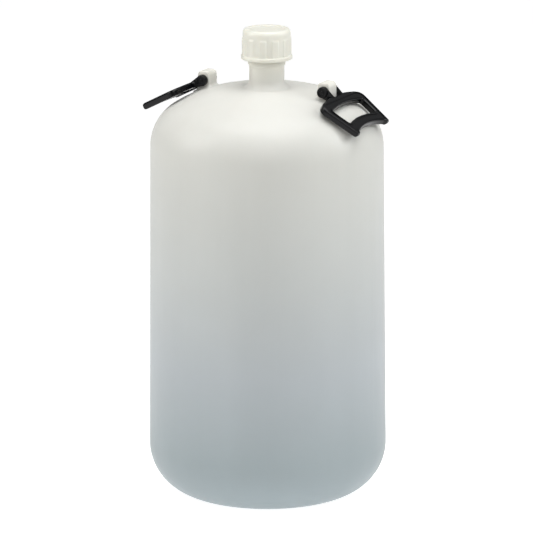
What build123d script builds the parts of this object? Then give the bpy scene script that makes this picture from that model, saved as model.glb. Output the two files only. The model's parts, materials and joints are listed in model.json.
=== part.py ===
from build123d import *
from math import atan2, cos, pi, radians, sin
import os

# Round plastic carboy with a ribbed screw cap and two swing handles.
# Millimetres. Origin at the centre of the base, +Z up. The handles stand at +X and -X.

# Body, a blow-moulded shell
foot_radius = 142.0          # body radius just above the base corner
shoulder_radius = 138.8      # body radius just below the shoulder
base_corner = 62.0           # radius of the corner between base and side
side_top = 424.5             # where the straight side ends
shoulder_corner = 55.5       # radius of the corner between side and shoulder
shoulder_slope = 31.5        # degrees, where the corner runs into the dome
wall = 3.0
foot_ring_width = 11.0
push_up = 6.0                # how far the middle of the base is dished in
dish_width = 10.0            # sloping ring between the foot and the dished middle

# Neck
neck_radius = 21.0
neck_root = 9.5              # fillet between shoulder and neck
neck_bore = 18.0
bore_root = 6.0              # rounding where the bore opens into the body
mouth_rim = 1.0
bead_radius = 22.4
bead_bottom = 522.5
bead_top = 527.5
finish_radius = 22.5         # plain part of the neck under the cap
mouth_height = 560.0

# Thread, shared by neck and cap
thread_pitch = 7.0
thread_turns = 1.6
thread_start = 538.0         # lower end of the neck's thread
neck_thread_crest = 24.7
cap_thread_crest = 23.1
ridge_root_width = 3.0
ridge_crest_width = 1.4
ridge_sink = 0.4             # how far a ridge runs into the wall that carries it

# Screw cap
cap_bottom = 529.3
cap_top = 565.6
cap_disc_radius = 24.6       # flat top
cap_skirt_radius = 28.6
cap_shoulder_height = 558.4  # where the rounded top meets the skirt
cap_rim_radius = 30.7
cap_rim_top = 534.4
cap_inner_radius = 25.2
cap_top_wall = 3.0
cap_rim_edge = 0.8
cap_rim_slope = 1.4
cap_bulge = (2.9, 2.6)       # middle of the rounded top, out from the disc and down from the top
rib_count = 12
rib_phase = 18.0             # degrees from +X to the first rib
rib_depth = 1.0
rib_width = 7.6
rib_top = 556.6
rib_sink = 0.6               # how far a rib runs into the skirt
rib_tip = 0.5
rib_overrun = 2.0            # how far a rib runs down into the rim
liner_thick = 2.5
liner_radius = 24.2
liner_edge = 0.3

# Handle pivots, one lug on each side of the neck
pivot_reach = 80.4           # from the axis of the bottle
pivot_height = 497.6
lug_half_thick = 9.4
lug_outward = 7.7            # from the pivot to the lug's side away from the neck
lug_inward = 9.3
lug_rise = 11.0              # lug top above the pivot
lug_round = 5.5
lug_edge = 1.2               # rounding of the lug's long edges
lug_root = 30.0              # how far the lug's blank runs below the pivot
pin_radius = 4.0
running_gap = 0.08           # pin in lug, radial
pressed_gap = 0.02           # pin in handle, radial
head_radius = 6.4
head_thick = 2.4
head_recess_radius = 4.6
head_recess_depth = 1.0
head_button_radius = 2.2
pin_cap_radius = 5.3
cap_socket_depth = 1.2
head_edge = 0.9
pin_tip = 0.5

# Handle, drawn flat: reach is the distance from the pivot, half widths are from its middle
handle_thick = 7.2
handle_reach = 73.8
arm_inner = 9.8
arm_outer = 13.6
eye_radius = 6.8
crotch_reach = 14.2
arm_taper = 15.0             # where the arms come down to the thickness of the handle
handle_round = 2.7
grip_outer = 63.6            # middle of the grip's hollow outer edge
opening_near = (30.5, 39.8)  # corners of the finger opening
opening_far = (54.8, 35.4)
near_arch = 25.6             # middles of the opening's two arched sides
far_arch = 50.0
opening_round = 3.2
crotch_round = 3.0
web_start = 19.0             # the plate is thinned from here on, inside a raised rim
web_depth = 0.8
rail_inner = 36.0            # the side bars are deeper below, outside this half width
rail_drop = 0.9
tip_round = 4.0              # the far end of the handle, seen from the side
tip_reach = 72.4
lower_edge = 0.9
rim_width = 3.3
# radius for each corner of the half outline, keyed by its place there
handle_corners = {1: 4.4, 2: 14.0, 4: 9.0, 5: 14.0, 6: 3.0, 7: 2.6, 8: 5.0}
left_droop = 26.8            # degrees below level at rest
right_droop = 33.8


def revolve_section(points_and_arcs):
    """Close a half section in the XZ plane and turn it about Z."""
    section = make_face(Wire(points_and_arcs))
    return revolve(section, Axis.Z)


def body_curve(offset):
    """Edges of the body's half outline, from the foot ring up to the plateau, moved in by offset."""
    lean = atan2(foot_radius - shoulder_radius, side_top - base_corner)
    low_centre = (foot_radius - base_corner, base_corner)
    high_centre = (shoulder_radius - shoulder_corner, side_top)
    low = base_corner - offset
    high = shoulder_corner - offset
    top_angle = radians(90 - shoulder_slope)

    def on(centre, radius, angle):
        return (centre[0] + radius * cos(angle), 0, centre[1] + radius * sin(angle))

    start = on(low_centre, low, -pi / 2)
    low_middle = on(low_centre, low, -pi / 4)
    low_end = on(low_centre, low, lean)
    side_end = on(high_centre, high, lean)
    high_middle = on(high_centre, high, (lean + top_angle) / 2)
    high_end = on(high_centre, high, top_angle)
    flat_radius = neck_radius + neck_root + 1.0
    ridge = on(high_centre, shoulder_corner, top_angle)
    dome_radius = (ridge[0] - flat_radius) / sin(radians(shoulder_slope))
    dome_centre = (flat_radius, ridge[2] - dome_radius * cos(radians(shoulder_slope)))
    dome_middle = on(dome_centre, dome_radius - offset, (top_angle + pi / 2) / 2)
    dome_end = on(dome_centre, dome_radius - offset, pi / 2)
    edges = [
        ThreePointArc(start, low_middle, low_end),
        Line(low_end, side_end),
        ThreePointArc(side_end, high_middle, high_end),
        ThreePointArc(high_end, dome_middle, dome_end),
    ]
    return start, dome_end, edges


def neck_curve(dome_end):
    """Outside of the neck, from the plateau to the rim of the mouth."""
    plateau = dome_end[2]
    root_start = (neck_radius + neck_root, 0, plateau)
    root_end = (neck_radius, 0, plateau + neck_root)
    bend = neck_root * (1 - cos(pi / 4))
    root_middle = (neck_radius + bend, 0, plateau + bend)
    rim = mouth_rim
    outline = [
        root_end,
        (neck_radius, 0, bead_bottom - 1.0),
        (bead_radius, 0, bead_bottom),
        (bead_radius, 0, bead_top),
        (finish_radius, 0, bead_top + 0.2),
        (finish_radius, 0, mouth_height - rim),
        (finish_radius - rim, 0, mouth_height),
        (neck_bore + rim, 0, mouth_height),
        (neck_bore, 0, mouth_height - rim),
    ]
    edges = [Line(dome_end, root_start), ThreePointArc(root_start, root_middle, root_end)]
    edges += [Line(a, b) for a, b in zip(outline, outline[1:])]
    return outline[-1], edges


def make_shell():
    """The hollow body with its neck, one closed section turned about the axis."""
    foot_outer, dome_end, outside = body_curve(0)
    rim_inner, neck = neck_curve(dome_end)
    floor_outer, roof_end, inside = body_curve(wall)
    bore_foot = (neck_bore + bore_root, 0, roof_end[2])
    bore_start = (neck_bore, 0, roof_end[2] + bore_root)
    bore_bend = bore_root * (1 - cos(pi / 4))
    bore_middle = (neck_bore + bore_bend, 0, roof_end[2] + bore_bend)
    foot_inner = (foot_outer[0] - foot_ring_width, 0, 0)
    dish = (foot_inner[0] - dish_width, 0, push_up)
    floor_dish = (foot_inner[0] - dish_width, 0, push_up + wall)
    edges = list(outside) + neck
    edges += [
        Line(rim_inner, bore_start),
        ThreePointArc(bore_start, bore_middle, bore_foot),
        Line(bore_foot, roof_end),
    ]
    edges += inside
    edges += [
        Line(floor_outer, (foot_inner[0] + 1.0, 0, wall)),
        Line((foot_inner[0] + 1.0, 0, wall), floor_dish),
        Line(floor_dish, (0, 0, push_up + wall)),
        Line((0, 0, push_up + wall), (0, 0, push_up)),
        Line((0, 0, push_up), dish),
        Line(dish, foot_inner),
        Line(foot_inner, foot_outer),
    ]
    return revolve_section(edges)


def thread_ridge(root, crest, start, hand_offset):
    """One helical ridge; root and crest are radii, so an inward ridge has crest under root."""
    sink = ridge_sink if crest > root else -ridge_sink
    height = thread_pitch * thread_turns
    path = Helix(thread_pitch, height, root)
    half_root = ridge_root_width / 2
    half_crest = ridge_crest_width / 2
    corners = [
        (root - sink, 0, -half_root),
        (crest, 0, -half_crest),
        (crest, 0, half_crest),
        (root - sink, 0, half_root),
    ]
    profile = make_face(Polyline(*corners, close=True))
    ridge = sweep(profile, path=path, is_frenet=True)
    return Pos(0, 0, start) * Rot(0, 0, hand_offset) * ridge


def make_lug():
    """Upright tab on the +X side, rooted in the shoulder and bored for the pin along Y."""
    outline = Rectangle(lug_outward + lug_inward, lug_rise + lug_root)
    outline = Pos((lug_outward - lug_inward) / 2, (lug_rise - lug_root) / 2) * outline
    top = outline.vertices().sort_by(Axis.Y)[-2:]
    outline = fillet(top, lug_round)
    tab = extrude(outline, lug_half_thick, both=True)
    long_edges = tab.edges().filter_by(Axis.Z, reverse=True)
    long_edges = long_edges.filter_by_position(Axis.Y, 1 - lug_root, lug_rise + 1)
    tab = fillet(long_edges, lug_edge)
    return Pos(pivot_reach, 0, pivot_height) * Rot(90, 0, 0) * tab


def pin_bore(radius, half_length):
    bore = extrude(Circle(radius), half_length, both=True)
    return Pos(pivot_reach, 0, pivot_height) * Rot(90, 0, 0) * bore


def make_bottle():
    shell = make_shell()
    lug = make_lug()
    keep_out = hollow_core()
    lug = lug - keep_out
    body = shell + lug + Rot(0, 0, 180) * lug
    bore = pin_bore(pin_radius + running_gap, 2 * lug_half_thick)
    body = body - bore - Rot(0, 0, 180) * bore
    ridge = thread_ridge(finish_radius, neck_thread_crest, thread_start, 0)
    return body + ridge


def hollow_core():
    """The space inside the shell, used to trim the roots of the lugs."""
    floor_outer, roof_end, inside = body_curve(wall / 2)
    edges = list(inside) + [
        Line(roof_end, (0, 0, roof_end[2])),
        Line((0, 0, roof_end[2]), (0, 0, floor_outer[2])),
        Line((0, 0, floor_outer[2]), floor_outer),
    ]
    return revolve_section(edges)


def make_screw_cap():
    crown = cap_shoulder_height
    edges = [
        Line((cap_inner_radius, 0, cap_bottom), (cap_rim_radius - cap_rim_edge, 0, cap_bottom)),
        Line((cap_rim_radius - cap_rim_edge, 0, cap_bottom), (cap_rim_radius, 0, cap_bottom + cap_rim_edge)),
        Line(
            (cap_rim_radius, 0, cap_bottom + cap_rim_edge),
            (cap_rim_radius, 0, cap_rim_top - cap_rim_slope),
        ),
        Line((cap_rim_radius, 0, cap_rim_top - cap_rim_slope), (cap_skirt_radius, 0, cap_rim_top)),
        Line((cap_skirt_radius, 0, cap_rim_top), (cap_skirt_radius, 0, crown)),
        ThreePointArc(
            (cap_skirt_radius, 0, crown),
            (cap_disc_radius + cap_bulge[0], 0, cap_top - cap_bulge[1]),
            (cap_disc_radius, 0, cap_top),
        ),
        Line((cap_disc_radius, 0, cap_top), (0, 0, cap_top)),
        Line((0, 0, cap_top), (0, 0, cap_top - cap_top_wall)),
        Line((0, 0, cap_top - cap_top_wall), (cap_inner_radius, 0, cap_top - cap_top_wall)),
        Line((cap_inner_radius, 0, cap_top - cap_top_wall), (cap_inner_radius, 0, cap_bottom)),
    ]
    cap = revolve_section(edges)
    cap += make_ribs()
    opposite = thread_start - thread_pitch / 2
    return cap + thread_ridge(cap_inner_radius, cap_thread_crest, opposite, 0)


def make_ribs():
    """Upright grip ribs round the skirt, each one a rounded bar that fades into the crown."""
    height = rib_top - cap_rim_top
    bar = Ellipse(rib_depth + rib_sink, rib_width / 2)
    bar = extrude(bar, height + rib_overrun)
    tip = bar.faces().sort_by(Axis.Z)[-1]
    bar = chamfer(tip.edges(), rib_tip)
    bar = Pos(cap_skirt_radius - rib_sink, 0, cap_rim_top - rib_overrun) * bar
    return [Rot(0, 0, rib_phase + 360 * k / rib_count) * bar for k in range(rib_count)]


def make_liner():
    """Soft sealing disc that lies on the rim of the mouth."""
    disc = Cylinder(liner_radius, liner_thick, align=(Align.CENTER, Align.CENTER, Align.MIN))
    disc = chamfer(disc.edges(), liner_edge)
    return Pos(0, 0, mouth_height) * disc


def handle_outline():
    """Half outline of the handle, as (reach, half width) points, from the arm to the tip."""
    half_eye = eye_radius / 2
    return [
        (-half_eye, arm_outer),
        (10.9, arm_outer),
        (12.4, 25.0),
        (15.4, 39.5),
        (20.0, 50.6),
        (28.0, 50.8),
        (71.8, 41.4),
        (handle_reach, 38.4),
        (69.2, 33.0),
    ]


def make_handle_face():
    half = handle_outline()
    left = [(x, -y) for x, y in reversed(half)]
    grip_arch = ThreePointArc(half[-1], (grip_outer, 0), left[0])
    outline = Polyline(*half) + grip_arch + Polyline(*left) + Line(left[-1], half[0])
    return round_corners(make_face(outline), handle_corners, half)


def round_corners(face, radii, half):
    """Round the outline's corners; radii is keyed by the point's place in the half outline."""
    for place, radius in radii.items():
        for side in (1, -1):
            reach, width = half[place]
            corner = face.vertices().sort_by_distance((reach, side * width, 0))[0]
            face = fillet([corner], radius)
    return face


def make_opening():
    """Finger opening: arched on both long sides, narrower at the grip."""
    near_reach, near_width = opening_near
    far_reach, far_width = opening_far
    outline = ThreePointArc((near_reach, -near_width), (near_arch, 0), opening_near)
    outline += Line(opening_near, opening_far)
    outline += ThreePointArc(opening_far, (far_arch, 0), (far_reach, -far_width))
    outline += Line((far_reach, -far_width), (near_reach, -near_width))
    face = make_face(outline)
    return fillet(face.vertices(), opening_round)


def side_profile(half_thick):
    """The handle seen from the side, with X as reach: a bar with a rounded far end."""
    low = -half_thick - rail_drop
    bend = tip_reach - tip_round
    end = ThreePointArc((bend, half_thick), (tip_reach, half_thick - tip_round), (bend, low))
    start = Polyline((bend, low), (-eye_radius, low), (-eye_radius, half_thick), (bend, half_thick))
    return make_face(end + start)


def make_handle():
    """Flat handle with the pivot along Y at the origin and the grip towards +X."""
    half_thick = handle_thick / 2
    face = make_handle_face() - make_opening()
    blank = extrude(face, half_thick, both=True)
    upper = [e for e in blank.edges() if abs(e.center().Z - half_thick) < 0.01]
    upper = [e for e in upper if e.center().X > -eye_radius / 2 + 0.1]
    blank = fillet(upper, handle_round)
    middle = Pos(handle_reach / 2, 0) * Rectangle(2 * handle_reach, 2 * rail_inner)
    rails = extrude(face - middle, -half_thick - rail_drop)
    under = [e for e in rails.edges() if abs(e.center().Z + half_thick + rail_drop) < 0.01]
    blank += chamfer(under, lower_edge)
    web = offset(face, -rim_width) & Pos(web_start, 0) * Rectangle(
        2 * handle_reach, 4 * handle_reach, align=(Align.MIN, Align.CENTER))
    for height in (half_thick - web_depth, -half_thick - web_depth):
        blank -= Pos(0, 0, height) * extrude(web, 2 * web_depth)
    blank &= Rot(90, 0, 0) * extrude(side_profile(half_thick), handle_reach, both=True)
    above = [(0, eye_radius), (arm_taper, half_thick)]
    below = [(arm_taper, -half_thick), (0, -eye_radius)]
    arms = extrude(make_face(Polyline(*above, *below, close=True)), arm_outer, both=True)
    eyes = extrude(Circle(eye_radius), arm_outer, both=True)
    handle = blank + Rot(90, 0, 0) * eyes + Rot(90, 0, 0) * arms
    slot_reach = crotch_reach + eye_radius + 2
    slot = Box(slot_reach, 2 * arm_inner, 4 * eye_radius, align=(Align.MAX, Align.CENTER, Align.CENTER))
    slot = fillet(slot.edges().filter_by(Axis.Z).group_by(Axis.X)[-1], crotch_round)
    handle -= Pos(crotch_reach, 0, 0) * slot
    bore = Rot(90, 0, 0) * extrude(Circle(pin_radius + pressed_gap), 2 * arm_outer, both=True)
    return handle - bore


def round_head(radius, thick):
    """Round disc that grows from the origin towards +Z, with a rounded rim."""
    disc = extrude(Circle(radius), thick)
    return fillet(disc.edges().sort_by(Axis.Z)[-1:], head_edge)


def head_disc():
    """The pin's head, with a ring-shaped recess in its face."""
    disc = round_head(head_radius, head_thick)
    recess = Circle(head_recess_radius) - Circle(head_button_radius)
    return disc - Pos(0, 0, head_thick - head_recess_depth) * extrude(recess, head_thick)


def make_pin():
    """Pivot pin along Y: its head is on the -Y side of the handle."""
    shaft_length = 2 * arm_outer + cap_socket_depth
    shaft = extrude(Circle(pin_radius), -shaft_length)
    shaft = chamfer(shaft.edges().sort_by(Axis.Z)[:1], pin_tip)
    return Pos(0, -arm_outer, 0) * Rot(90, 0, 0) * (head_disc() + shaft)


def make_pin_cap():
    """Push-on cap that holds the pin on the +Y side."""
    socket = extrude(Circle(pin_radius + pressed_gap), cap_socket_depth + 0.1)
    cap = round_head(pin_cap_radius, head_thick) - socket
    return Pos(0, arm_outer, 0) * Rot(-90, 0, 0) * cap


def place(shape, droop, side):
    """Stand a pivot-centred shape on the right (+1) or left (-1) lug, drooping from level."""
    shape = Pos(pivot_reach, 0, pivot_height) * Rot(0, droop, 0) * shape
    if side < 0:
        shape = mirror(shape, Plane.YZ)
    return shape


def write(shape, node):
    os.makedirs("parts", exist_ok=True)
    shape.label = node
    export_step(shape, "parts/" + node + ".step")


write(make_bottle(), "bottle")
write(make_screw_cap(), "screw_cap")
write(make_liner(), "cap_liner")
handle = make_handle()
pin = make_pin()
pin_cap = make_pin_cap()
for side, name, droop in ((1, "right", right_droop), (-1, "left", left_droop)):
    write(place(handle, droop, side), name + "_handle")
    write(place(pin, droop, side), name + "_pivot_pin")
    write(place(pin_cap, droop, side), name + "_pin_cap")
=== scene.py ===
import json
from math import cos, pi, radians, sin

import bpy
import numpy as np
from mathutils import Matrix, Vector


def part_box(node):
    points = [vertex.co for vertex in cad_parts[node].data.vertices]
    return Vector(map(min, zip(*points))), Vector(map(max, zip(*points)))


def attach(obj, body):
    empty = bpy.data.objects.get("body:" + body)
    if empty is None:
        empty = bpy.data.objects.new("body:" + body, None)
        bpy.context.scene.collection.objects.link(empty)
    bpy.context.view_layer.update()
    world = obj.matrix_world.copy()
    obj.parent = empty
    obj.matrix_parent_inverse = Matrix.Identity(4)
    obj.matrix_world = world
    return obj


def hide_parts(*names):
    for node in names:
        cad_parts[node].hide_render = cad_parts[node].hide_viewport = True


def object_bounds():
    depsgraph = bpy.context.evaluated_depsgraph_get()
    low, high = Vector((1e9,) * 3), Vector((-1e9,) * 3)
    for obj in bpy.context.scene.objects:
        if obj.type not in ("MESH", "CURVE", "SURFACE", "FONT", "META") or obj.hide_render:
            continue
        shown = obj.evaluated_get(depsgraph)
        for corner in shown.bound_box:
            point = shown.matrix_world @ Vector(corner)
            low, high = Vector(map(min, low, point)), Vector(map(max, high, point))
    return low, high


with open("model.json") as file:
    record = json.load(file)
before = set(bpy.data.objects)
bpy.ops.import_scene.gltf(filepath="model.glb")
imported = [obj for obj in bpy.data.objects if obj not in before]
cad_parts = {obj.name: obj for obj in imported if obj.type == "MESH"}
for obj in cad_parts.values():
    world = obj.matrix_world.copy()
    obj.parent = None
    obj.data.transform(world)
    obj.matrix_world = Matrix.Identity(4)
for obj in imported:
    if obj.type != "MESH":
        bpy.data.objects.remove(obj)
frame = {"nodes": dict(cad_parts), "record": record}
cadLow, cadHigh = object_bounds()
jointPlace = {j["name"]: Vector(j.get("pos_m", (0, 0, 0))) for j in frame["record"]["behaviour"]["joints"]}
print("frame loaded")


def smoothStep(low, high, x):
    # 0 below low, 1 above high, an S-curve between them
    t = np.clip((x - low) / (high - low), 0, 1)
    return t * t * (3 - 2 * t)


def arcPoints(centre, radius, start, end, count):
    # points on a circle, from angle start to end in degrees
    a = np.radians(np.linspace(start, end, count))
    return np.stack([centre[0] + radius * np.cos(a), centre[1] + radius * np.sin(a)], 1)


def fillLine(points, step):
    # the same polyline with extra points, so that no gap is longer than step
    points = np.asarray(points, float)
    gaps = np.linalg.norm(np.diff(points, axis=0), axis=1)
    points = points[np.concatenate([[True], gaps > 1e-9])]
    along = np.concatenate([[0], np.cumsum(gaps[gaps > 1e-9])])
    spans = [np.linspace(a, b, max(1, int(np.ceil((b - a) / step))), endpoint=False)
             for a, b in zip(along, along[1:])]
    where = np.append(np.concatenate(spans), along[-1])
    return np.stack([np.interp(where, along, points[:, k]) for k in (0, 1)], 1)


def meshObject(name, points, faces):
    mesh = bpy.data.meshes.new(name)
    mesh.from_pydata(np.asarray(points).tolist(), [], faces)
    mesh.validate()
    mesh.shade_smooth()
    piece = bpy.data.objects.new(name, mesh)
    bpy.context.scene.collection.objects.link(piece)
    return piece


def meshFromGrid(name, grid, startPole=None, endPole=None):
    # grid is rows x columns x 3, closed across its columns; a pole closes the first or the last row
    rows, columns = grid.shape[:2]
    row = np.arange(rows - 1)[:, None] * columns
    ring = np.arange(columns)[None, :]
    nextRing = (ring + 1) % columns
    quads = np.stack([row + ring, row + nextRing, row + columns + nextRing, row + columns + ring], -1)
    points, faces, total = [grid.reshape(-1, 3)], quads.reshape(-1, 4).tolist(), rows * columns
    ends = ((startPole, 0, nextRing[0], ring[0]), (endPole, (rows - 1) * columns, ring[0], nextRing[0]))
    for pole, base, first, second in ends:
        if pole is not None:
            points.append(np.array([pole]))
            faces += np.stack([base + first, base + second, np.full(columns, total)], 1).tolist()
            total += 1
    return meshObject(name, np.concatenate(points), faces)


def turnProfile(radius, height, columns):
    # a surface of revolution; radius and height are one value a row, or rows x columns
    angle = np.linspace(0, 2 * pi, columns, endpoint=False)[None, :]
    radius, height = (v[:, None] if v.ndim == 1 else v for v in (np.asarray(radius), np.asarray(height)))
    return np.stack([radius * np.cos(angle), radius * np.sin(angle), height + 0 * angle], -1)


thread = dict(pitch=0.007, turns=1.6, start=0.538, root=0.003, crest=0.0014, fade=0.09,
              neckRadius=0.0225, neckCrest=0.0247, capRadius=0.0252, capCrest=0.0231)


def threadRidge(angle, height, start):
    # 0 to 1 up a helical ridge: a rounded trapezium across it, faded out at both ends
    turn = angle / (2 * pi)
    nearest = np.round((height - start) / thread["pitch"] - turn)
    across = np.abs(height - start - thread["pitch"] * (turn + nearest))
    along = turn + nearest
    ridge = 1 - smoothStep(thread["crest"] / 2, thread["root"] / 2, across)
    fade, turns = thread["fade"], thread["turns"]
    return ridge * smoothStep(0, fade, along) * (1 - smoothStep(turns - fade, turns, along))


shell = dict(columns=288, footRadius=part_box("bottle")[1].x, shoulderRadius=0.1388, wall=0.003,
             baseCorner=0.062, sideTop=0.4245, shoulderCorner=0.0555, shoulderSlope=31.5,
             footRing=0.011, pushUp=0.006, dishWidth=0.010, neckRadius=0.021, neckRoot=0.0095,
             bore=0.018, beadRadius=0.0224, beadBottom=0.5225, beadTop=0.5275,
             mouth=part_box("bottle")[1].z, rim=0.001, flatMargin=0.001, beadRound=0.0007, beadGap=0.0008,
             finishInset=0.0003, finishRise=0.0006, boreRoot=0.006, axisGap=0.002,
             arcSteps=44, sideStep=0.006, neckStep=0.003, fineStep=0.00035)


def domeShape():
    # centre and radius of the dome that runs from the shoulder's corner to the flat round the neck
    s = shell
    slope = radians(s["shoulderSlope"])
    edgeRadius = s["shoulderRadius"] - s["shoulderCorner"] + s["shoulderCorner"] * sin(slope)
    edgeHeight = s["sideTop"] + s["shoulderCorner"] * cos(slope)
    flatRadius = s["neckRadius"] + s["neckRoot"] + s["flatMargin"]
    domeRadius = (edgeRadius - flatRadius) / sin(slope)
    return (flatRadius, edgeHeight - domeRadius * cos(slope)), domeRadius


def shoulderHeight(radius):
    # height of the outside of the shoulder over a point this far from the axis
    (flatRadius, low), domeRadius = domeShape()
    return low + np.sqrt(domeRadius ** 2 - (np.maximum(radius, flatRadius) - flatRadius) ** 2)


def bodyOutline(offset):
    # foot ring, base corner, straight side, shoulder corner and dome, moved in by offset
    s = shell
    lean = np.degrees(np.arctan2(s["footRadius"] - s["shoulderRadius"], s["sideTop"] - s["baseCorner"]))
    lowCentre = (s["footRadius"] - s["baseCorner"], s["baseCorner"])
    highCentre = (s["shoulderRadius"] - s["shoulderCorner"], s["sideTop"])
    domeCentre, domeRadius = domeShape()
    steps, dome = s["arcSteps"], 90 - s["shoulderSlope"]
    corner = arcPoints(lowCentre, s["baseCorner"] - offset, -90, lean, steps)
    shoulder = arcPoints(highCentre, s["shoulderCorner"] - offset, lean, dome, steps)
    side = fillLine([corner[-1], shoulder[0]], s["sideStep"])
    top = arcPoints(domeCentre, domeRadius - offset, dome, 90, steps)
    return np.concatenate([corner, side[1:-1], shoulder, top[1:]])


def neckOutline():
    # root fillet, neck, bead, plain finish that carries the thread, and the rounded rim
    s = shell
    flat = bodyOutline(0)[-1, 1]
    root = arcPoints((s["neckRadius"] + s["neckRoot"], flat + s["neckRoot"]), s["neckRoot"], 270, 180, 24)
    bead, soft = s["beadRadius"], s["beadRound"]
    beadTurn = np.concatenate([
        arcPoints((bead - soft, s["beadBottom"] + soft), soft, -70, 0, 6),
        arcPoints((bead - soft, s["beadTop"] - soft), soft, 0, 90, 6)])
    radius, rimHeight = thread["neckRadius"], s["mouth"] - s["rim"]
    finish = fillLine([(radius - s["finishInset"], s["beadTop"]), (radius, s["beadTop"] + s["finishRise"]),
                       (radius, rimHeight)], s["fineStep"])
    rimOut = arcPoints((radius - s["rim"], rimHeight), s["rim"], 0, 90, 7)
    rimIn = arcPoints((s["bore"] + s["rim"], rimHeight), s["rim"], 90, 180, 7)
    neckTop = (s["neckRadius"], s["beadBottom"] - s["beadGap"])
    neck = fillLine([root[-1], neckTop, beadTurn[0]], s["neckStep"])
    return np.concatenate([root[:-1], neck[:-1], beadTurn, finish, rimOut[1:], rimIn[1:]])


def makeBottle():
    # one closed section turned about the axis: dished underside, outside, mouth, bore and inside
    s = shell
    outside, inside = bodyOutline(0), bodyOutline(s["wall"])
    footInner = s["footRadius"] - s["baseCorner"] - s["footRing"]
    dishInner = footInner - s["dishWidth"]
    dishSlope = np.linspace(0, 1, 14)
    dish = np.stack([dishInner + (footInner - dishInner) * dishSlope,
                     s["pushUp"] * (1 - smoothStep(0, 1, dishSlope))], 1)
    under = np.concatenate([fillLine([(s["axisGap"], s["pushUp"]), dish[0]], s["sideStep"])[:-1], dish])
    roof, curve = inside[-1, 1], s["boreRoot"]
    boreRoot = arcPoints((s["bore"] + curve, roof + curve), curve, 180, 270, 14)
    bore = fillLine([(s["bore"], s["mouth"] - s["rim"]), boreRoot[0]], s["neckStep"])[1:-1]
    floor = under[::-1] + [0, s["wall"]]
    profile = np.concatenate([under, outside[1:], neckOutline(), bore, boreRoot, inside[::-1], floor])
    radius, height = profile[:, 0], profile[:, 1]
    angle = np.linspace(0, 2 * pi, s["columns"], endpoint=False)[None, :]
    onFinish = np.abs(radius - thread["neckRadius"]) < 1e-6  # rows of the finish carry the thread
    ridge = threadRidge(angle, height[:, None], thread["start"])
    lift = (thread["neckCrest"] - thread["neckRadius"]) * ridge
    radius = radius[:, None] + np.where(onFinish[:, None], lift, 0)
    poles = (0, 0, s["pushUp"]), (0, 0, s["pushUp"] + s["wall"])
    bottle = meshFromGrid("bottleShell", turnProfile(radius, height, s["columns"]), *poles)
    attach(bottle, "root")
    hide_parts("bottle")
    return bottle


lug = dict(outward=0.0077, inward=0.0093, halfThick=0.0094, rise=0.011, topRound=0.0055, edgeRound=0.0016,
           flare=0.0055, sink=0.0015, columns=128, flareRows=18, sideRows=26)


def makeLug(name, pivot):
    # a rounded rectangle carried upwards: it flares into the shoulder below and rounds over at the top
    g = lug
    wide, thick, soft = (g["outward"] + g["inward"]) / 2, g["halfThick"], g["edgeRound"]
    middle = abs(pivot.x) + (g["outward"] - g["inward"]) / 2     # the lug is wider towards the neck
    corners = [arcPoints((sx * (wide - soft), sy * (thick - soft)), soft, a, a + 90, 9)
               for sx, sy, a in ((1, 1, 0), (-1, 1, 90), (-1, -1, 180), (1, -1, 270))]
    ring = np.concatenate(corners + [corners[0][:1]])
    along = np.concatenate([[0], np.cumsum(np.linalg.norm(np.diff(ring, axis=0), axis=1))])
    where = np.linspace(0, along[-1], g["columns"], endpoint=False)
    ring = np.stack([np.interp(where, along, ring[:, k]) for k in (0, 1)], 1)
    ahead = np.roll(ring, -1, 0) - np.roll(ring, 1, 0)
    outward = np.stack([ahead[:, 1], -ahead[:, 0]], 1) / np.linalg.norm(ahead, axis=1)[:, None]
    top = pivot.z + g["rise"]
    foot = shoulderHeight(np.hypot(ring[:, 0] + middle, ring[:, 1]))
    full = top - foot.mean()
    rows = np.concatenate([np.linspace(-g["sink"], g["flare"], g["flareRows"], endpoint=False),
                           full - (full - g["flare"]) * (1 - np.sin(np.linspace(0, pi / 2, g["sideRows"])))])
    up = rows[:, None]
    height = foot + up * (top - foot) / full
    spread = g["flare"] * (1 - np.sqrt(1 - (1 - np.clip(up / g["flare"], 0, 1)) ** 2))
    downX = np.clip(top - height, 0, g["topRound"])
    downY = np.clip(top - height, 0, soft)
    scaleX = (wide - g["topRound"] + np.sqrt(g["topRound"] ** 2 - (g["topRound"] - downX) ** 2)) / wide
    scaleY = (thick - soft + np.sqrt(soft ** 2 - (soft - downY) ** 2)) / thick
    x = ring[:, 0] * scaleX + outward[:, 0] * spread
    y = ring[:, 1] * scaleY + outward[:, 1] * spread
    side = 1 if pivot.x > 0 else -1
    grid = np.stack([side * (middle + x), side * y, height], -1)
    piece = meshFromGrid(name, grid, endPole=(side * middle, 0, top))
    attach(piece, "root")
    return piece


cap = dict(columns=360, bottom=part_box("screw_cap")[0].z, top=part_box("screw_cap")[1].z, disc=0.0246,
           skirt=0.0286, crown=0.5584, rim=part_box("screw_cap")[1].x, rimTop=0.5344, topWall=0.003,
           ribs=12, ribPhase=18, ribDepth=0.0009, ribTop=0.5566, ribFade=0.0032, discDish=0.0006,
           dishRadius=0.0205, dishEdge=0.0016, ceilingRound=0.001, lipRound=0.0011, lipInset=0.0006,
           rimRound=0.0014, rimSink=0.0016, footRound=0.0009, footLift=0.0008, crownPower=0.86,
           ribFoot=0.001, ribFull=0.0006, ribValley=0.28, ribCrest=0.62, axisGap=0.001,
           fineStep=0.0004, discStep=0.0006, wideStep=0.003)


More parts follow.
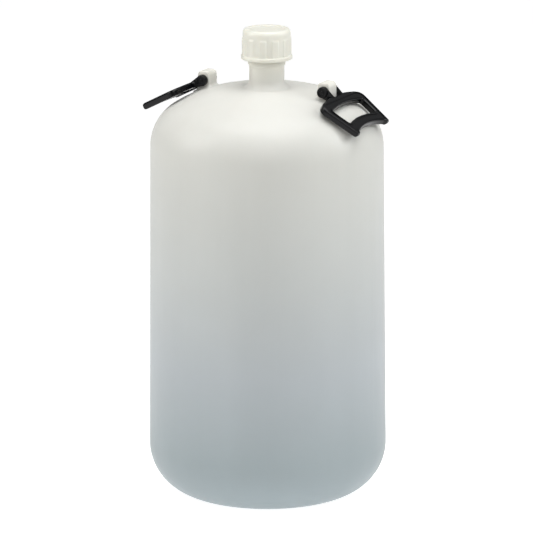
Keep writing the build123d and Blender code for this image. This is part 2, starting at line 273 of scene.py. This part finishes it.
def makeCap():
    # the section runs from the middle of the ceiling, down the thread, round the rim and up to the top
    c = cap
    inner, ceiling = thread["capRadius"], c["top"] - c["topWall"]
    soft, lipRound, inset = c["ceilingRound"], c["lipRound"], c["lipInset"]
    inside = fillLine([(c["axisGap"], ceiling), (inner - soft, ceiling)], c["wideStep"])
    inside = np.concatenate([inside, arcPoints((inner - soft, ceiling - soft), soft, 90, 0, 6)[1:]])
    wallDown = fillLine([(inner, ceiling - soft), (inner, c["bottom"] + inset)], c["fineStep"])[1:]
    lip = arcPoints((c["rim"] - lipRound, c["bottom"] + lipRound), lipRound, -90, 0, 9)
    bottomEdge = fillLine([(inner + inset, c["bottom"]), lip[0]], 0.001)
    rimTop = arcPoints((c["rim"] - c["rimRound"], c["rimTop"] - c["rimSink"]), c["rimRound"], 0, 80, 9)
    footCentre = (c["skirt"] + c["footRound"], c["rimTop"] + c["footLift"])
    skirtFoot = arcPoints(footCentre, c["footRound"], 260, 180, 6)
    skirt = fillLine([skirtFoot[-1], (c["skirt"], c["crown"])], c["fineStep"])
    turn = np.radians(np.linspace(0, 90, 26))
    crown = np.stack([c["disc"] + (c["skirt"] - c["disc"]) * np.cos(turn) ** c["crownPower"],
                      c["crown"] + (c["top"] - c["crown"]) * np.sin(turn) ** c["crownPower"]], 1)
    edge = c["dishRadius"]
    disc = fillLine([(c["disc"], c["top"]), (edge, c["top"]), (c["axisGap"], c["top"])], c["discStep"])
    disc[:, 1] -= c["discDish"] * (1 - smoothStep(edge - c["dishEdge"], edge, disc[:, 0]))
    profile = np.concatenate([inside, wallDown, bottomEdge, lip[1:], rimTop, skirtFoot, skirt[1:], crown[1:],
                              disc[1:]])
    radius, height = profile[:, :1], profile[:, 1:]
    outer = np.arange(len(profile))[:, None] > len(inside) + len(wallDown)
    angle = np.linspace(0, 2 * pi, c["columns"], endpoint=False)[None, :]
    wave = 0.5 + 0.5 * np.cos(c["ribs"] * (angle - radians(c["ribPhase"])))
    rib = smoothStep(c["ribValley"], c["ribCrest"], wave)
    fade = smoothStep(c["rimTop"] - c["ribFoot"], c["rimTop"] + c["ribFull"], height)
    fade = fade * (1 - smoothStep(c["ribTop"] - c["ribFade"], c["ribTop"], height)) * outer
    ridge = threadRidge(angle, height, thread["start"] - thread["pitch"] / 2)
    isWall = (np.abs(radius - inner) < 1e-6) & ~outer
    radius = radius + c["ribDepth"] * rib * fade + (thread["capCrest"] - inner) * ridge * isWall
    grid = turnProfile(radius, height, c["columns"])
    piece = meshFromGrid("screwCap", grid, (0, 0, ceiling), (0, 0, c["top"] - c["discDish"]))
    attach(piece, "cap")
    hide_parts("screw_cap")
    return piece


class Wire:
    # a shader socket that takes part in plain arithmetic; each operation adds a Math node
    def __init__(self, finish, socket):
        self.finish, self.socket = finish, socket

    def maths(self, operation, *others):
        values = {k: v for k, v in enumerate((self, *others))}
        return self.finish.add("ShaderNodeMath", {"operation": operation}, values)

    def __add__(self, other): return self.maths("ADD", other)
    def __radd__(self, other): return self.maths("ADD", other)
    def __sub__(self, other): return self.maths("SUBTRACT", other)
    def __rsub__(self, other): return self.finish.number(other).maths("SUBTRACT", self)
    def __mul__(self, other): return self.maths("MULTIPLY", other)
    def __rmul__(self, other): return self.maths("MULTIPLY", other)
    def __truediv__(self, other): return self.maths("DIVIDE", other)
    def __abs__(self): return self.maths("ABSOLUTE")


class Finish:
    # one material: a Principled shader whose plain sockets are set by name
    def __init__(self, name, **sockets):
        self.material = bpy.data.materials.new(name)
        self.material.use_nodes = True
        self.tree = self.material.node_tree
        self.shader = self.tree.nodes["Principled BSDF"]
        for socketName, value in sockets.items():
            self.shader.inputs[socketName.replace("_", " ")].default_value = value

    def add(self, kind, settings=None, values=None, output=0):
        # settings go on first, a ramp's stops among them; a value is a number, a colour or a Wire
        node = self.tree.nodes.new(kind)
        for key, value in (settings or {}).items():
            if key == "stops":
                self.setStops(node.color_ramp.elements, value)
            else:
                setattr(node, key, value)
        for key, value in (values or {}).items():
            if isinstance(value, Wire):
                self.tree.links.new(value.socket, node.inputs[key])
            else:
                node.inputs[key].default_value = value
        return Wire(self, node.outputs[output])

    def setStops(self, elements, stops):
        while len(elements) < len(stops):
            elements.new(1.0)
        for element, (place, colour) in zip(elements, stops):
            element.position = place
            element.color = (*colour, 1)

    def number(self, value):
        return self.add("ShaderNodeMath", {"operation": "ADD"}, {0: value, 1: 0.0})

    def place(self):
        return self.add("ShaderNodeTexCoord", output="Object")

    def axis(self, name):
        return self.add("ShaderNodeSeparateXYZ", values={0: self.place()}, output=name)

    def noise(self, scale, detail=3.0, stretch=(1, 1, 1), rough=0.5):
        where = self.add("ShaderNodeMapping", values={"Vector": self.place(), "Scale": stretch})
        return self.add("ShaderNodeTexNoise", {"noise_dimensions": "3D"},
                        {"Vector": where, "Scale": scale, "Detail": detail, "Roughness": rough})

    def mixColour(self, amount, first, second, blend="MIX"):
        settings = {"data_type": "RGBA", "blend_type": blend}
        return self.add("ShaderNodeMix", settings, {0: amount, 6: first, 7: second}, output=2)

    def feed(self, socketName, value):
        self.tree.links.new(value.socket, self.shader.inputs[socketName])

    def bump(self, height):
        # height is in metres
        values = {"Height": height, "Strength": 1.0, "Distance": 1.0}
        self.feed("Normal", self.add("ShaderNodeBump", values=values))


def toLinear(*levels):
    # 0-255 display levels to scene-linear colour
    c = np.array(levels) / 255
    return tuple(np.where(c <= 0.04045, c / 12.92, ((c + 0.055) / 1.055) ** 2.4).tolist())


# stops: the plastic's own off-white colour with painted shade and light over it by height: darker and bluer
# towards the bottom, lighter at the shoulder and neck
bottleLook = dict(stops=((0.0, (144, 155, 159)), (0.12, (154, 164, 167)), (0.3, (172, 178, 181)),
                         (0.5, (186, 189, 187)), (0.75, (199, 199, 193)), (0.88, (207, 206, 200)),
                         (0.92, (224, 222, 211)), (1.0, (224, 222, 211))),
                  cloud=0.05, cloudScale=7.0, streak=0.035, streakScale=26.0, rough=0.42, roughVary=0.12,
                  seamHalfWidth=0.00045, seamHeight=0.00012)


def bottlePlastic():
    k = bottleLook
    f = Finish("naturalPolyethylene", Subsurface_Weight=0.30, Subsurface_Radius=(0.020, 0.018, 0.017),
               Subsurface_Scale=0.6, IOR=1.5, Specular_IOR_Level=0.35)
    height = f.axis("Z") / cadHigh.z
    # painted shade by height: the ramp darkens and blues the colour towards the bottom and lightens it near
    # the neck, standing in for how the light falls
    stops = [(place, toLinear(*level)) for place, level in k["stops"]]
    paintedShadeByHeight = f.add("ShaderNodeValToRGB", {"stops": stops}, {0: height})
    # cloud: a wall that is a little thicker here and there; streak: faint lines that run down the side
    cloud = (f.noise(k["cloudScale"], 4.0) - 0.5) * k["cloud"] * 2
    streak = (f.noise(k["streakScale"], 3.0, (1, 1, 0.05)) - 0.5) * k["streak"] * 2
    shade = 1.0 + cloud + streak
    grey = f.add("ShaderNodeCombineXYZ", values={0: shade, 1: shade, 2: shade})
    f.feed("Base Color", f.mixColour(1.0, paintedShadeByHeight, grey, "MULTIPLY"))
    scuffs = f.noise(60.0, 6.0, (1, 1, 0.35), 0.65)
    f.feed("Roughness", k["rough"] + (scuffs - 0.5) * k["roughVary"] * 2)
    # the mould line runs over the whole bottle, through both lugs
    seam = 1 - (abs(f.axis("Y")) / k["seamHalfWidth"]).maths("MINIMUM", 1.0)
    skin = f.noise(420.0, 2.0) * 0.00004
    swell = f.noise(18.0, 2.0, (1, 1, 0.5)) * 0.0006 + f.noise(70.0, 2.0, (1, 1, 0.06)) * 0.00008
    f.bump(skin + swell + seam * k["seamHeight"])
    return f.material


def capPlastic():
    f = Finish("ivoryPolyethylene", Subsurface_Weight=0.30, Subsurface_Radius=(0.012, 0.010, 0.008),
               Subsurface_Scale=0.5, IOR=1.5, Specular_IOR_Level=0.5)
    mottle = f.noise(45.0, 4.0)
    warm, pale = toLinear(208, 207, 195), toLinear(218, 217, 208)
    f.feed("Base Color", f.mixColour(mottle, (*warm, 1), (*pale, 1)))
    f.feed("Roughness", 0.36 + (f.noise(160.0, 5.0) - 0.5) * 0.24)
    f.bump(f.noise(900.0, 2.0) * 0.00003 + f.noise(60.0, 2.0) * 0.0001)
    return f.material


def linerFoam():
    f = Finish("linerFoam", IOR=1.4)
    cells = f.add("ShaderNodeTexVoronoi", values={"Vector": f.place(), "Scale": 1400.0})
    f.feed("Base Color", f.mixColour(cells, (*toLinear(236, 236, 230), 1), (*toLinear(214, 214, 206), 1)))
    f.feed("Roughness", 0.7 + cells * 0.15)
    f.bump(cells * 0.0001)
    return f.material


def blackPlastic(name, rough, grain):
    # dark moulded plastic with fine grain, faint flow marks and a few lighter rubbed places
    f = Finish(name, IOR=1.5, Specular_IOR_Level=0.26)
    rubbed = smoothRamp(f, f.noise(90.0, 6.0, rough=0.7), 0.56, 0.78)
    f.feed("Base Color", f.mixColour(rubbed * 0.5, (*toLinear(5, 6, 8), 1), (*toLinear(18, 20, 23), 1)))
    f.feed("Roughness", rough + rubbed * 0.12 + (f.noise(300.0, 3.0) - 0.5) * 0.10)
    f.bump(f.noise(1500.0, 2.0) * grain + f.noise(120.0, 2.0) * 0.00006)
    return f.material


def smoothRamp(f, value, low, high):
    return f.add("ShaderNodeMapRange", {"interpolation_type": "SMOOTHSTEP"},
                 {"Value": value, "From Min": low, "From Max": high})


def dress(piece, material):
    piece.data.materials.clear()
    piece.data.materials.append(material)


bottleMaterial, capMaterial = bottlePlastic(), capPlastic()
dress(makeBottle(), bottleMaterial)
for side in ("left", "right"):
    dress(makeLug(side + "Lug", jointPlace[side + "_handle_swing"]), bottleMaterial)
print("bottle made")
dress(makeCap(), capMaterial)
dress(frame["nodes"]["cap_liner"], linerFoam())
print("cap made")
handleMaterial = blackPlastic("blackHandlePlastic", 0.20, 0.00002)
pinMaterial = blackPlastic("blackPinPlastic", 0.34, 0.00003)
for side in ("left", "right"):
    dress(frame["nodes"][side + "_handle"], handleMaterial)
    dress(frame["nodes"][side + "_pivot_pin"], pinMaterial)
    dress(frame["nodes"][side + "_pin_cap"], pinMaterial)
print("handles made")

shot = dict(azimuth=27.1, elevation=13.46, distance=6.5725, lens=371.5, aimHeight=0.2759,
            aimRight=-0.001, roll=-0.17, floor=0.55, floorGlow=0.84)


def makeCamera():
    a, e = radians(shot["azimuth"]), radians(shot["elevation"])
    back = Vector((sin(a) * cos(e), -cos(a) * cos(e), sin(e)))
    right = Vector((cos(a), sin(a), 0))
    aim = Vector((0, 0, shot["aimHeight"])) + right * shot["aimRight"]
    camera = bpy.data.objects.new("camera", bpy.data.cameras.new("camera"))
    camera.data.lens = shot["lens"]
    camera.data.sensor_width = 36.0
    camera.data.clip_end = 60.0
    turn = (-back).to_track_quat("-Z", "Y").to_matrix().to_4x4()
    roll = Matrix.Rotation(radians(shot["roll"]), 4, "Z")
    camera.matrix_world = Matrix.Translation(aim + back * shot["distance"]) @ turn @ roll
    bpy.context.scene.collection.objects.link(camera)
    bpy.context.scene.camera = camera


lights = dict(world=0.24, boxes=(
    # name, degrees round from the camera, distance, height, width, tall, watts, colour
    ("leftBox", -80, 1.1, 1.0, 0.3, 0.7, 5.5, (1.0, 0.99, 0.97)),
    ("rightBox", 80, 1.1, 1.0, 0.3, 0.7, 5.0, (0.97, 0.985, 1.0)),
    ("frontBox", 6, 2.6, 2.4, 1.6, 1.2, 21, (1.0, 1.0, 1.0)),
    ("topBox", 20, 0.2, 1.7, 1.1, 1.1, 15.5, (1.0, 1.0, 1.0)),
))


def makeLights():
    centre = Vector((0, 0, cadHigh.z * 0.55))
    for name, turn, distance, height, width, tall, power, colour in lights["boxes"]:
        a = radians(shot["azimuth"] + turn)
        lamp = bpy.data.lights.new(name, "AREA")
        lamp.shape, lamp.size, lamp.size_y = "RECTANGLE", width, tall
        lamp.energy, lamp.color = power, colour
        holder = bpy.data.objects.new(name, lamp)
        holder.location = (sin(a) * distance, -cos(a) * distance, height)
        holder.rotation_euler = (centre - holder.location).to_track_quat("-Z", "Y").to_euler()
        bpy.context.scene.collection.objects.link(holder)
    world = bpy.data.worlds.new("studio")
    world.use_nodes = True
    world.node_tree.nodes["Background"].inputs["Color"].default_value = (1, 1, 1, 1)
    world.node_tree.nodes["Background"].inputs["Strength"].default_value = lights["world"]
    bpy.context.scene.world = world


def makeFloor():
    half = 12.0
    corners = [(-half, -half, 0), (half, -half, 0), (half, half, 0), (-half, half, 0)]
    floor = meshObject("floor", corners, [(0, 1, 2, 3)])
    f = Finish("paleFloor", IOR=1.3, Specular_IOR_Level=0.1, Emission_Color=(1, 1, 1, 1),
               Emission_Strength=shot["floorGlow"])
    dark, light = shot["floor"], shot["floor"] + 0.01
    f.feed("Base Color", f.mixColour(f.noise(3.0), (dark, dark, dark, 1), (light, light, light, 1)))
    f.feed("Roughness", 0.9 + f.noise(20.0) * 0.08)
    dress(floor, f.material)


makeCamera()
makeLights()
makeFloor()
bpy.context.scene.view_settings.view_transform = "Standard"
print("scene ready")
